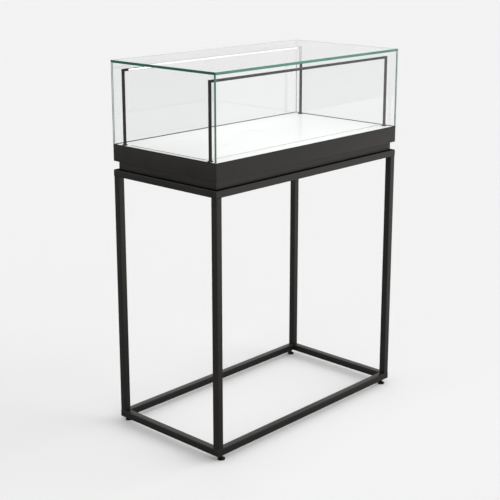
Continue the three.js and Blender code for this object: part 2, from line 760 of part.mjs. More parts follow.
function driverGeometry() {
  const half = DRIVER_LENGTH / 2;
  const width = DRIVER_WIDTH;
  const radius = DRIVER_CORNER_RADIUS;
  const outline = drawRoundedRect(new THREE.Shape(), -half, -width / 2, DRIVER_LENGTH, width, radius);
  const body = extrude(outline, DRIVER_HEIGHT);
  const reach = half + DRIVER_EAR;
  const holeDepth = DRIVER_EAR_THICKNESS + 2 * CUT_MARGIN;
  const earSide = DRIVER_EAR_WIDTH / 2;
  const ears = block(-reach, reach, -earSide, earSide, 0, DRIVER_EAR_THICKNESS);
  const slots = ENDS.map(([, end]) => (
    upright(end * (half + DRIVER_EAR / 2), 0, -CUT_MARGIN, DRIVER_SLOT_RADIUS, holeDepth)
  ));
  return cut(join(body, ears), ...slots);
}

// Round panel socket with a centre pin; its open mouth faces back (+Y).
function inletGeometry() {
  const mouth = INLET_FLANGE_THICKNESS;
  const floor = mouth - INLET_BORE_DEPTH;
  return new THREE.LatheGeometry([
    new THREE.Vector2(0, -INLET_BARREL_LENGTH),
    new THREE.Vector2(INLET_BARREL_RADIUS, -INLET_BARREL_LENGTH),
    new THREE.Vector2(INLET_BARREL_RADIUS, 0),
    new THREE.Vector2(INLET_FLANGE_RADIUS, 0),
    new THREE.Vector2(INLET_FLANGE_RADIUS, mouth),
    new THREE.Vector2(INLET_BORE_RADIUS, mouth),
    new THREE.Vector2(INLET_BORE_RADIUS, floor),
    new THREE.Vector2(INLET_PIN_RADIUS, floor),
    new THREE.Vector2(INLET_PIN_RADIUS, mouth - INLET_PIN_RECESS),
    new THREE.Vector2(0, mouth - INLET_PIN_RECESS),
  ], ROUND);
}

function makeElectrics() {
  const electrics = new THREE.Group();
  const driver = piece(electrics, 'led_driver', driverGeometry(), FINISH.blackPlastic);
  driver.position.set(INLET_X - DRIVER_TO_INLET, CASE_DEPTH / 2 - DRIVER_SET_BACK, COVER_TOP);
  const inlet = piece(electrics, 'power_inlet', inletGeometry(), FINISH.blackPlastic);
  inlet.position.set(INLET_X, CASE_DEPTH / 2 - PLINTH_INSET, STAND_TOP + PLINTH_HEIGHT / 2);
  return electrics;
}

// ---------------------------------------------------------------- the whole case

const displayCase = new THREE.Group();
displayCase.add(makeStand(), makeFeet(), makePlinth(), makeTray(), makeHood());
piece(displayCase, 'hood_seal', sealGeometry(), FINISH.rubber);
for (const [side, sy] of SIDES) {
  displayCase.add(makeLightFrame(side, sy));
}
displayCase.add(makeElectrics());

export default displayCase;
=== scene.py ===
"""Pedestal display case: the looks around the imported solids. Metres, +Z up, the front faces -Y."""

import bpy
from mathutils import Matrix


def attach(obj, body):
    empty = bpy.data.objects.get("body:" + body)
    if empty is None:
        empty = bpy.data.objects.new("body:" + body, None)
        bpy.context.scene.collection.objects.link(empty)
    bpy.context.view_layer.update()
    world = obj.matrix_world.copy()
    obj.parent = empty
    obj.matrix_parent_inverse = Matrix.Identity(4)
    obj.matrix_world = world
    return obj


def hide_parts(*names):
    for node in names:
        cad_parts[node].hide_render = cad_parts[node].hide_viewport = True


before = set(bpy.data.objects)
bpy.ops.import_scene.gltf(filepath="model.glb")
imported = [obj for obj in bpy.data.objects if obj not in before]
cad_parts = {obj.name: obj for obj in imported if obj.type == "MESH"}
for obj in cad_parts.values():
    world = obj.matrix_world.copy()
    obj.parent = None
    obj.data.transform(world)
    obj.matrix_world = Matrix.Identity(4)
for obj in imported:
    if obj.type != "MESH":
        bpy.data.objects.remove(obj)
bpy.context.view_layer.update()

import math

import bmesh
import bpy
from mathutils import Matrix, Vector

# ---------------------------------------------------------------- sizes, in metres

LENGTH = 0.960
DEPTH = 0.500
TUBE = 0.025
TUBE_WALL = 0.0015
TUBE_RADIUS = 0.0025
BASE_BOTTOM = 0.018
BASE_TOP = 0.043
RAIL_BOTTOM = 0.918
STAND_TOP = 0.943
TRAY_BOTTOM = 0.973
RIM_TOP = 1.031
HOOD_BOTTOM = 1.032
WALL_TOP = 1.314
HOOD_TOP = 1.322
SHEET = 0.0015
TRAY_RIM = 0.008
TRAY_FLANGE = 0.027
WALL_GLASS = 0.006
ARRIS = 0.0008
BOND = 0.0001
WELDED_CORNER = 0.002
CHIP_PITCH = 0.030
FOOT_X = 0.453
FOOT_Y = 0.2375

ENDS = (("left", -1), ("right", 1))
SIDES = (("front", -1), ("back", 1))

# ---------------------------------------------------------------- camera

CAMERA_PLACE = (-2.9909, -2.7388, 1.7684)
CAMERA_PITCH = math.radians(14.323)
CAMERA_YAW = math.radians(46.989)
CAMERA_LENS = 82.083
CAMERA_SENSOR = 36
CAMERA_SHIFT_Y = -0.07
CLIP_START = 0.05
CLIP_END = 200


def make_camera():
    """Looks down at the case's near corner, from the photograph's side."""
    data = bpy.data.cameras.new("camera")
    data.sensor_width = CAMERA_SENSOR
    data.lens = CAMERA_LENS
    data.shift_y = CAMERA_SHIFT_Y
    data.clip_start = CLIP_START
    data.clip_end = CLIP_END
    camera = bpy.data.objects.new("camera", data)
    camera.location = CAMERA_PLACE
    camera.rotation_euler = (math.pi / 2 - CAMERA_PITCH, 0, -CAMERA_YAW)
    bpy.context.scene.collection.objects.link(camera)
    bpy.context.scene.camera = camera


# ---------------------------------------------------------------- node trees


BEVEL_SAMPLES = 4
MIX_FACTOR, MIX_A, MIX_B, MIX_RESULT = 0, 6, 7, 2


class Tree:
    """A material's or world's node tree, with short calls for the nodes that the surfaces share."""

    def __init__(self, owner):
        owner.use_nodes = True
        self.tree = owner.node_tree
        self.tree.nodes.clear()

    def node(self, kind, values=None, **settings):
        made = self.tree.nodes.new(kind)
        for name, value in settings.items():
            setattr(made, name, value)
        for name, value in (values or {}).items():
            self.put(made.inputs[name], value)
        return made

    def put(self, socket, value):
        if isinstance(value, bpy.types.NodeSocket):
            self.tree.links.new(value, socket)
        else:
            socket.default_value = value

    def math(self, operation, a, b=0.0, clamp=False):
        return self.node("ShaderNodeMath", {0: a, 1: b}, operation=operation, use_clamp=clamp).outputs[0]

    def place(self):
        """A point of the surface in the object's own space, in metres."""
        return self.node("ShaderNodeTexCoord").outputs["Object"]

    def parts(self, vector):
        """The x, y and z of a vector."""
        return self.node("ShaderNodeSeparateXYZ", {"Vector": vector}).outputs

    def softened(self, radius):
        """The surface's normal, with its edges rounded by a radius."""
        return self.node("ShaderNodeBevel", {"Radius": radius}, samples=BEVEL_SAMPLES).outputs[0]

    def stretched(self, vector, scale):
        """A vector scaled by its own factor along x, y and z."""
        return self.node("ShaderNodeMapping", {"Vector": vector, "Scale": scale}).outputs[0]

    def noise(self, vector, scale, detail=2.0, roughness=0.5):
        values = {"Vector": vector, "Scale": scale, "Detail": detail, "Roughness": roughness}
        return self.node("ShaderNodeTexNoise", values).outputs["Fac"]

    def cells(self, vector, scale):
        values = {"Vector": vector, "Scale": scale}
        return self.node("ShaderNodeTexVoronoi", values).outputs["Distance"]

    def spread(self, value, low, high, out_low, out_high):
        """Carries low to high over to out_low to out_high, and holds the ends."""
        values = {"Value": value, "From Min": low, "From Max": high, "To Min": out_low, "To Max": out_high}
        return self.node("ShaderNodeMapRange", values).outputs[0]

    def blend(self, factor, a, b):
        """Colour a at factor 0 and b at factor 1."""
        mix = self.node("ShaderNodeMix", data_type="RGBA")
        self.put(mix.inputs[MIX_FACTOR], factor)
        self.put(mix.inputs[MIX_A], a)
        self.put(mix.inputs[MIX_B], b)
        return mix.outputs[MIX_RESULT]

    def choose(self, factor, a, b):
        """Shader a at factor 0 and b at factor 1."""
        return self.node("ShaderNodeMixShader", {0: factor, 1: a, 2: b}).outputs[0]

    def bump(self, height, strength, distance, normal=None):
        values = {"Height": height, "Strength": strength, "Distance": distance}
        if normal is not None:
            values["Normal"] = normal
        return self.node("ShaderNodeBump", values).outputs[0]

    def rays(self, *names):
        """1 for a ray of any of these kinds."""
        path = self.node("ShaderNodeLightPath")
        total = path.outputs[names[0]]
        for name in names[1:]:
            total = self.math("MAXIMUM", total, path.outputs[name])
        return total

    def finish(self, shader, output="ShaderNodeOutputMaterial"):
        self.put(self.node(output).inputs["Surface"], shader)


def new_material(name):
    material = bpy.data.materials.new(name)
    return material, Tree(material)


def grey(value):
    return (value, value, value, 1)


def scaled(colour, factor):
    """A colour made darker or lighter, up to white."""
    return tuple(min(part * factor, 1) for part in colour[:3]) + (1,)


# ---------------------------------------------------------------- finishes


COAT_SHEEN = (1.0, 0.965, 0.90, 1)
COAT_DARK = (0.82, 0.82, 0.80)
COAT_LIGHT = (1.3176, 1.19, 1.06)
COAT_DUST = (2.2, 2.15, 2.05)
COAT_SPECK = (2.6, 2.6, 2.5)


def powder_coat(name, base, roughness, shine):
    """Satin powder coat: orange peel, a fine sparkle of grain, and cloudy changes of tone and gloss."""
    material, t = new_material(name)
    place = t.place()
    cloud = t.noise(place, scale=14, detail=3)
    peel = t.noise(place, scale=620, detail=2)
    fine = t.noise(place, scale=2600, detail=2, roughness=0.7)
    dust = t.spread(t.noise(place, scale=3.1, detail=4, roughness=0.6), 0.45, 0.75, 0.0, 1.0)
    dark, light = scaled(COAT_DARK, base), scaled(COAT_LIGHT, base)
    tone = t.blend(t.spread(cloud, 0.3, 0.7, 0.0, 1.0), dark, light)
    tone = t.blend(t.math("MULTIPLY", dust, 0.12), tone, scaled(COAT_DUST, base))
    speck = t.spread(fine, 0.62, 0.8, 0.0, 0.35)
    tone = t.blend(speck, tone, scaled(COAT_SPECK, base))
    uneven = t.math("ADD", cloud, t.math("MULTIPLY", fine, 0.5))
    gloss = t.spread(uneven, 0.4, 1.1, roughness - 0.07, roughness + 0.09)
    height = t.math("ADD", peel, t.math("MULTIPLY", fine, 0.3))
    soft = t.softened(0.0006)
    shader = t.node("ShaderNodeBsdfPrincipled", {
        "Base Color": tone,
        "Roughness": gloss,
        "Specular IOR Level": shine,
        "Specular Tint": COAT_SHEEN,
        "Normal": t.bump(height, strength=0.22, distance=0.0003, normal=soft),
    })
    t.finish(shader.outputs[0])
    return material


ANODISED_DARK = (0.8, 0.79, 0.77)
ANODISED_LIGHT = (1.25, 1.23, 1.2)


def anodised(name, base, roughness):
    """Black anodised extrusion: faint lines along its length and a slight change of tone."""
    material, t = new_material(name)
    place = t.place()
    lines = t.noise(t.stretched(place, (40, 2600, 2600)), scale=1.0, detail=2)
    cloud = t.noise(place, scale=22, detail=3)
    tone = t.blend(cloud, scaled(ANODISED_DARK, base), scaled(ANODISED_LIGHT, base))
    tone = t.blend(t.spread(lines, 0.35, 0.65, 0.0, 0.25), tone, grey(base * 1.8))
    soft = t.softened(0.0003)
    shader = t.node("ShaderNodeBsdfPrincipled", {
        "Base Color": tone,
        "Roughness": t.spread(lines, 0.2, 0.8, roughness - 0.06, roughness + 0.08),
        "Specular IOR Level": 0.03,
        "Normal": t.bump(lines, strength=0.12, distance=0.0001, normal=soft),
    })
    t.finish(shader.outputs[0])
    return material


def moulded(name, base, roughness, grain=900.0, strength=0.25, shine=0.35):
    """Moulded plastic with a fine spark-eroded grain."""
    material, t = new_material(name)
    place = t.place()
    grains = t.cells(place, grain)
    cloud = t.noise(place, scale=60, detail=3)
    tone = t.blend(cloud, scaled(base, 0.8), scaled(base, 1.2))
    soft = t.softened(0.0003)
    shader = t.node("ShaderNodeBsdfPrincipled", {
        "Base Color": tone,
        "Roughness": t.spread(cloud, 0.3, 0.7, roughness - 0.08, roughness + 0.08),
        "Specular IOR Level": shine,
        "Normal": t.bump(grains, strength=strength, distance=0.0002, normal=soft),
    })
    t.finish(shader.outputs[0])
    return material


def black_oxide():
    """Oiled black oxide on turned steel: fine rings, and bright rubs here and there."""
    material, t = new_material("black_oxide")
    place = t.place()
    rub = t.spread(t.noise(place, scale=380, detail=4, roughness=0.65), 0.58, 0.74, 0.0, 0.45)
    cloud = t.noise(place, scale=120, detail=2)
    tone = t.blend(cloud, (0.018, 0.018, 0.02, 1), (0.036, 0.036, 0.038, 1))
    tone = t.blend(rub, tone, (0.11, 0.108, 0.105, 1))
    rings = t.noise(t.stretched(place, (60, 60, 5200)), scale=1.0, detail=1)
    soft = t.softened(0.0002)
    shader = t.node("ShaderNodeBsdfPrincipled", {
        "Base Color": tone,
        "Metallic": 0.8,
        "Roughness": t.spread(cloud, 0.3, 0.7, 0.32, 0.48),
        "Normal": t.bump(rings, strength=0.15, distance=0.0001, normal=soft),
    })
    t.finish(shader.outputs[0])
    return material


DECK_CORE = (0.10, 0.085, 0.07, 1)
# Painted shade: grey for the acrylic panel's upright edges, standing in for the shaded seam round the
# panel.
PANEL_EDGE_SHADE = (0.62, 0.62, 0.61, 1)


def laminate(name, base, roughness, core_and_shade):
    """White laminate or acrylic: a faint mottle, uneven gloss, and a given colour on its upright edges:
    the deck board's brown inner layer, and on the acrylic panel a painted shade of grey.
    """
    material, t = new_material(name)
    place = t.place()
    cloud = t.noise(place, scale=5, detail=4, roughness=0.6)
    fine = t.noise(place, scale=1500, detail=2)
    wipe = t.noise(t.stretched(place, (3, 60, 3)), scale=1.0, detail=3)
    low = (base * 0.985, base * 0.985, base * 0.98, 1)
    tone = t.blend(t.spread(cloud, 0.35, 0.65, 0.0, 1.0), low, (base, base, base * 0.997, 1))
    facing = t.parts(t.node("ShaderNodeNewGeometry").outputs["True Normal"])
    # Upright faces take the edge colour: the deck board's real brown inner layer, and painted shade on the
    # acrylic panel.
    upright = t.spread(t.math("ABSOLUTE", facing[2]), 0.5, 0.8, 1.0, 0.0)
    tone = t.blend(upright, tone, core_and_shade)
    gloss = t.spread(t.math("ADD", wipe, cloud), 0.7, 1.3, roughness - 0.05, roughness + 0.05)
    soft = t.softened(0.0004)
    shader = t.node("ShaderNodeBsdfPrincipled", {
        "Base Color": tone,
        "Roughness": gloss,
        "Specular IOR Level": 0.3,
        "Normal": t.bump(fine, strength=0.06, distance=0.0002, normal=soft),
    })
    t.finish(shader.outputs[0])
    return material


def rubber():
    """Matt black seal strip."""
    material, t = new_material("seal_rubber")
    place = t.place()
    fine = t.noise(place, scale=1800, detail=3)
    tone = t.blend(fine, (0.008, 0.008, 0.008, 1), (0.02, 0.02, 0.02, 1))
    shader = t.node("ShaderNodeBsdfPrincipled", {
        "Base Color": tone,
        "Roughness": t.spread(fine, 0.3, 0.7, 0.75, 0.95),
        "Specular IOR Level": 0.25,
        "Normal": t.bump(fine, strength=0.3, distance=0.0002),
    })
    t.finish(shader.outputs[0])
    return material


def chip_wave(t, place):
    """1 at each of the LED strip's chips and -1 between them."""
    return t.math("COSINE", t.math("MULTIPLY", t.parts(place)[0], 2 * math.pi / CHIP_PITCH))


def lit_diffuser():
    """Opal cover, lit from behind by a row of chips, a little brighter over each chip."""
    material, t = new_material("opal_diffuser")
    place = t.place()
    wave = chip_wave(t, place)
    cloud = t.noise(place, scale=300, detail=2)
    strength = t.math("ADD", t.spread(wave, -1.0, 1.0, 0.85, 1.1), t.math("MULTIPLY", cloud, 0.2))
    shader = t.node("ShaderNodeBsdfPrincipled", {
        "Base Color": t.blend(cloud, (0.74, 0.74, 0.73, 1), (0.80, 0.80, 0.79, 1)),
        "Roughness": t.spread(cloud, 0.3, 0.7, 0.4, 0.5),
        "Emission Color": (1.0, 0.985, 0.96, 1),
        "Emission Strength": strength,
    })
    t.finish(shader.outputs[0])
    return material


def circuit_strip():
    """White solder mask with a copper-coloured pad line at each chip."""
    material, t = new_material("circuit_strip")
    place = t.place()
    chip = t.spread(chip_wave(t, place), 0.93, 0.98, 0.0, 1.0)
    cloud = t.noise(place, scale=400, detail=2)
    mask = t.blend(cloud, (0.7, 0.7, 0.68, 1), (0.8, 0.8, 0.78, 1))
    shader = t.node("ShaderNodeBsdfPrincipled", {
        "Base Color": t.blend(chip, mask, (0.86, 0.68, 0.2, 1)),
        "Roughness": t.spread(cloud, 0.3, 0.7, 0.4, 0.55),
        "Normal": t.bump(cloud, strength=0.1, distance=0.0002),
    })
    t.finish(shader.outputs[0])
    return material


GLASS_TINT = (0.985, 0.991, 0.988, 1)
GLASS_SHADOW = (0.99, 0.996, 0.993, 1)
GLASS_IOR = 1.5
LINE_FAR = 0.0032
LINE_NEAR = 0.0026


def clear_glass():
    """Float glass faces: clear and slightly green. The lamps' light and bounced light pass straight on."""
    material, t = new_material("glass_face")
    glass = t.node("ShaderNodeBsdfPrincipled", {
        "Base Color": GLASS_TINT,
        "Roughness": 0.0,
        "IOR": GLASS_IOR,
        "Transmission Weight": 1.0,
    })
    passing = t.node("ShaderNodeBsdfTransparent", {"Color": GLASS_SHADOW})
    t.finish(t.choose(t.rays("Is Shadow Ray", "Is Diffuse Ray"), glass.outputs[0], passing.outputs[0]))
    return material


def glass_edge(name, dark, light, streaked, through, clearness=1.0, lined=None):
    """Polished edge of float glass: green from outside, clear where light meets it from within the pane.

    lined is the colour of a line along the edge's back arris.
    """
    material, t = new_material(name)
    place = t.place()
    cloud = t.noise(place, scale=9, detail=3, roughness=0.6)
    streak = t.noise(t.stretched(place, (6, 6, 900)), scale=1.0, detail=2)
    tone = t.blend(t.spread(cloud, 0.35, 0.65, 0.0, 1.0), dark, light)
    tone = t.blend(t.spread(streak, 0.5, 0.8, 0.0, 0.35), tone, streaked)
    if lined is not None:
        arris = t.spread(t.parts(place)[1], DEPTH / 2 - LINE_FAR, DEPTH / 2 - LINE_NEAR, 0.0, 1.0)
        tone = t.blend(arris, tone, lined)
    edge = t.node("ShaderNodeBsdfPrincipled", {
        "Base Color": tone,
        "Roughness": t.spread(streak, 0.3, 0.7, 0.12, 0.22),
        "Specular IOR Level": 0.5,
        "Normal": t.bump(streak, strength=0.08, distance=0.0002),
    })
    inside = t.node("ShaderNodeBsdfPrincipled", {
        "Base Color": through,
        "Roughness": 0.0,
        "IOR": GLASS_IOR,
        "Transmission Weight": clearness,
    })
    passing = t.node("ShaderNodeBsdfTransparent", {"Color": GLASS_SHADOW})
    from_within = t.node("ShaderNodeNewGeometry").outputs["Backfacing"]
    sides = t.choose(from_within, edge.outputs[0], inside.outputs[0])
    t.finish(t.choose(t.rays("Is Shadow Ray", "Is Diffuse Ray"), sides, passing.outputs[0]))
    return material


THROUGH_CLEAR = (0.94, 0.985, 0.965, 1)
THROUGH_BOND = (0.09, 0.15, 0.12, 1)
THROUGH_DULL = (0.42, 0.46, 0.44, 1)
LONG_TONES = (0.010, 0.085, 0.050, 1), (0.018, 0.125, 0.078, 1), (0.06, 0.24, 0.17, 1)
SHORT_TONES = (0.055, 0.205, 0.140, 1), (0.090, 0.260, 0.190, 1), (0.20, 0.42, 0.34, 1)
PALE_TONES = (0.60, 0.69, 0.64, 1), (0.70, 0.78, 0.73, 1), (0.78, 0.84, 0.80, 1)
PALE_LINE = (0.012, 0.09, 0.058, 1)
BOND_TONES = (0.030, 0.130, 0.090, 1), (0.050, 0.165, 0.120, 1), (0.12, 0.26, 0.20, 1)
FACES, EDGE_LONG, EDGE_SHORT, EDGE_PALE, EDGE_BONDED, EDGE_DULL = range(6)


def glass_materials():
    """The faces' glass, then the edges' in slot order.

    The longer the way through the pane behind an edge, the deeper its green.
    """
    return [
        clear_glass(),
        glass_edge("glass_edge_long", *LONG_TONES, THROUGH_CLEAR),
        glass_edge("glass_edge_short", *SHORT_TONES, THROUGH_CLEAR),
        glass_edge("glass_edge_pale", *PALE_TONES, THROUGH_CLEAR, lined=PALE_LINE),
        glass_edge("glass_edge_bonded", *BOND_TONES, THROUGH_BOND, clearness=0.2),
        glass_edge("glass_edge_dull", *SHORT_TONES, THROUGH_DULL, clearness=0.45),
    ]


# ---------------------------------------------------------------- meshes


SMOOTH_ANGLE = 35
THREAD_SMOOTH_ANGLE = 60
GLASS_SMOOTH_ANGLE = 20


def add_piece(name, mesh, materials, body, replaced, smooth_angle=SMOOTH_ANGLE):
    """Links a mesh as a piece of the object, shaded smooth across gentle angles."""
    for material in materials:
        mesh.materials.append(material)
    piece = bpy.data.objects.new(name, mesh)
    bpy.context.scene.collection.objects.link(piece)
    mesh.shade_smooth()
    mesh.set_sharp_from_angle(angle=math.radians(smooth_angle))
    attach(piece, body)
    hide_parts(*replaced)


def to_mesh(name, bm):
    bmesh.ops.recalc_face_normals(bm, faces=bm.faces)
    mesh = bpy.data.meshes.new(name)
    bm.to_mesh(mesh)
    bm.free()
    return mesh


def bridge(bm, rings, closed=False, caps=False):
    """Skins a list of point rings with quads.

    closed joins the last ring to the first, and caps fills both end rings.
    """
    made = [[bm.verts.new(point) for point in ring] for ring in rings]
    count = len(made)
    for i in range(count if closed else count - 1):
        a, b = made[i], made[(i + 1) % count]
        for j in range(len(a)):
            k = (j + 1) % len(a)
            bm.faces.new((a[j], a[k], b[k], b[j]))
    if caps:
        bm.faces.new(list(reversed(made[0])))
        bm.faces.new(made[-1])


def arc(centre, radius, start, end, steps):
    """Points on an arc from start to end, in degrees."""
    points = []
    for i in range(steps + 1):
        angle = math.radians(start + (end - start) * i / steps)
        points.append((centre[0] + radius * math.cos(angle), centre[1] + radius * math.sin(angle)))
    return points


def rounded_square(size, radius, steps, inset=0.0):
    """Outline of a square with rounded corners. Without an inset its corner is at 0,0."""
    low, high = inset + radius, size - inset - radius
    points = arc((high, high), radius, 0, 90, steps)
    points += arc((low, high), radius, 90, 180, steps)
    points += arc((low, low), radius, 180, 270, steps)
    points += arc((high, low), radius, 270, 360, steps)
    return points


def rounded_rectangle(half_x, half_y, radius, steps):
    """Outline of a rectangle with rounded corners, about 0,0."""
    points = arc((half_x - radius, half_y - radius), radius, 0, 90, steps)
    points += arc((radius - half_x, half_y - radius), radius, 90, 180, steps)
    points += arc((radius - half_x, radius - half_y), radius, 180, 270, steps)
    points += arc((half_x - radius, radius - half_y), radius, 270, 360, steps)
    return points


TUBE_STEPS = 6


def tube_walls(bm, place_point):
    """Outer and inner skins of a square tube with ring-shaped ends.

    place_point maps a point of the section and an end, 0 or 1, to a place.
    """
    outer = rounded_square(TUBE, TUBE_RADIUS, TUBE_STEPS)
    inner = rounded_square(TUBE, TUBE_RADIUS - TUBE_WALL, TUBE_STEPS, TUBE_WALL)
    rings = []
    for section, end in ((outer, 0), (outer, 1), (inner, 1), (inner, 0)):
        rings.append([place_point(point, end) for point in section])
    bridge(bm, rings, closed=True)


def make_rail(side, level):
    """A rail of one of the stand's two rectangles, mitred at both ends.

    The top face of a top rail has material 1, a near-black painted shade that draws the shadow line under
    the plinth.
    """
    turn = {"front": 0, "right": 90, "back": 180, "left": 270}[side]
    along_x = side in ("front", "back")
    length = LENGTH if along_x else DEPTH
    reach = DEPTH if along_x else LENGTH
    turned = Matrix.Rotation(math.radians(turn), 4, "Z")
    bm = bmesh.new()

    def place_point(point, end):
        inward, up = point
        x = (length / 2 - inward) * (1 if end else -1)
        return turned @ Vector((x, inward - reach / 2, level + up))

    tube_walls(bm, place_point)
    # Painted shade: the top rails' top faces, the ledge round the plinth, get the near-black material.
    for face in bm.faces:
        if min(vertex.co.z for vertex in face.verts) > STAND_TOP - TUBE_WALL / 2:
            face.material_index = 1
    return bm


def make_leg(sx, sy):
    """A leg between the base rails and the top rails."""
    bm = bmesh.new()
    x0 = sx * (LENGTH - TUBE) / 2 - TUBE / 2
    y0 = sy * (DEPTH - TUBE) / 2 - TUBE / 2
    tube_walls(bm, lambda point, end: (x0 + point[0], y0 + point[1], RAIL_BOTTOM if end else BASE_TOP))
    return bm


SWEEP_STEPS = 5
LEAST_RADIUS = 0.0002


def ring_sweep(section, corner_radius):
    """Carries a closed section of (inset, height) points round the case's rectangle."""
    bm = bmesh.new()
    rings = []
    for inset, height in section:
        radius = max(corner_radius - inset, LEAST_RADIUS)
        outline = rounded_rectangle(LENGTH / 2 - inset, DEPTH / 2 - inset, radius, SWEEP_STEPS)
        rings.append([(x, y, height) for x, y in outline])
    bridge(bm, rings, closed=True)
    return bm


FOLD = 0.0008
FOLD_STEPS = 4


def fold(inset, height, start, end):
    """The outer curve of a fold, about its centre."""
    return arc((inset, height), FOLD, start, end, FOLD_STEPS)


def tray_section():
    """Channel open to the inside: rim above, wall, and flange below."""
    section = fold(FOLD, TRAY_BOTTOM + FOLD, 270, 180)
    section += fold(FOLD, RIM_TOP - FOLD, 180, 90)
    section += [
        (TRAY_RIM, RIM_TOP),
        (TRAY_RIM, RIM_TOP - SHEET),
        (SHEET, RIM_TOP - SHEET),
        (SHEET, TRAY_BOTTOM + SHEET),
        (TRAY_FLANGE, TRAY_BOTTOM + SHEET),
        (TRAY_FLANGE, TRAY_BOTTOM),
    ]
    return section


def revolve(bm, profile, centre, sides):
    """Turns (radius, height) points about an upright axis, and closes both ends."""
    x, y, z = centre
    rings = []
    for radius, height in profile:
        ring = []
        for i in range(sides):
            angle = 2 * math.pi * i / sides
            ring.append((x + radius * math.cos(angle), y + radius * math.sin(angle), z + height))
        rings.append(ring)
    bridge(bm, rings, caps=True)


PAD_RADIUS = 0.013
PAD_UNDERSIDE = [(0.0118, 0.0), (0.0126, 0.0001), (PAD_RADIUS, 0.0006)]
PAD_EDGE = 0.0015
PAD_EDGE_STEPS = 6
PAD_RIM = 0.005
PAD_HEIGHT = 0.009
HUB_RADIUS = 0.0065
HUB_SWEEP = 0.0032
HUB_SWEEP_STEPS = 8
HUB_EDGE = 0.0005
HUB_EDGE_STEPS = 3
SOCKET_RADIUS = 0.0043
SOCKET_FLOOR = 0.003
PAD_SIDES = 72


def make_pad(x, y):
    """Swivel pad: rounded rim, hollow sweep up to the hub, and a shallow socket round the stud."""
    profile = list(PAD_UNDERSIDE)
    profile += arc((PAD_RADIUS - PAD_EDGE, PAD_RIM - PAD_EDGE), PAD_EDGE, 0, 90, PAD_EDGE_STEPS)
    profile += arc((HUB_RADIUS + HUB_SWEEP, PAD_RIM + HUB_SWEEP), HUB_SWEEP, 270, 180, HUB_SWEEP_STEPS)
    profile += arc((HUB_RADIUS - HUB_EDGE, PAD_HEIGHT - HUB_EDGE), HUB_EDGE, 0, 90, HUB_EDGE_STEPS)
    profile += [(SOCKET_RADIUS, PAD_HEIGHT), (SOCKET_RADIUS, SOCKET_FLOOR)]
    bm = bmesh.new()
    revolve(bm, profile, (x, y, 0), PAD_SIDES)
    return bm


STUD_RADIUS = 0.004
STUD_BOTTOM = 0.003
STUD_TOP = 0.034
THREAD_PITCH = 0.00125
THREAD_DEPTH = 0.0006
THREAD_ROOT = 0.15
THREAD_FLANK = 0.7
THREAD_SIDES = 32
THREAD_STEPS = 4


def make_stud(x, y):
    """Threaded stud: one helical thread on a plain shank, run out at both ends."""
    bm = bmesh.new()
    rows = int((STUD_TOP - STUD_BOTTOM) / THREAD_PITCH) * THREAD_STEPS
    rings = []
    for i in range(rows + 1):
        height = STUD_BOTTOM + (STUD_TOP - STUD_BOTTOM) * i / rows
        runout = min(i, rows - i, THREAD_STEPS) / THREAD_STEPS
        ring = []
        for j in range(THREAD_SIDES):
            turn = j / THREAD_SIDES
            phase = (height / THREAD_PITCH - turn) % 1.0
            crest = 1 - abs(2 * phase - 1)
            crest = min(max((crest - THREAD_ROOT) / THREAD_FLANK, 0), 1)
            radius = STUD_RADIUS - THREAD_DEPTH * (1 - crest * runout)
            angle = 2 * math.pi * turn
            ring.append((x + radius * math.cos(angle), y + radius * math.sin(angle), height))
        rings.append(ring)
    bridge(bm, rings, caps=True)
    return bm


FACE_ON = 0.99


def pane(low, high, axis, edge_slots):
    """A pane with ground arrises.

    edge_slots gives the material slots of the edges that face along x, y and z. A pair of slots is for
    the edges that face down that axis and up it.
    """
    bm = bmesh.new()
    low, high = Vector(low), Vector(high)
    across = [i for i in range(3) if i != axis]
    start, end = low[axis], high[axis]
    rings = []
    for level, inset in ((start, ARRIS), (start + ARRIS, 0.0), (end - ARRIS, 0.0), (end, ARRIS)):
        ring = []
        for u, v in ((0, 0), (1, 0), (1, 1), (0, 1)):
            point = [0.0, 0.0, 0.0]
            point[across[0]] = (high if u else low)[across[0]] + inset * (-1 if u else 1)
            point[across[1]] = (high if v else low)[across[1]] + inset * (-1 if v else 1)
            point[axis] = level
            ring.append(point)
        rings.append(ring)
    bridge(bm, rings, caps=True)
    bm.normal_update()
    for face in bm.faces:
        facing = [abs(part) for part in face.normal]
        if facing[axis] > FACE_ON:
            face.material_index = FACES
        else:
            facing[axis] = 0.0
            along = facing.index(max(facing))
            slots = edge_slots[along]
            face.material_index = slots if isinstance(slots, int) else slots[face.normal[along] > 0]
    return bm


# ---------------------------------------------------------------- putting it together


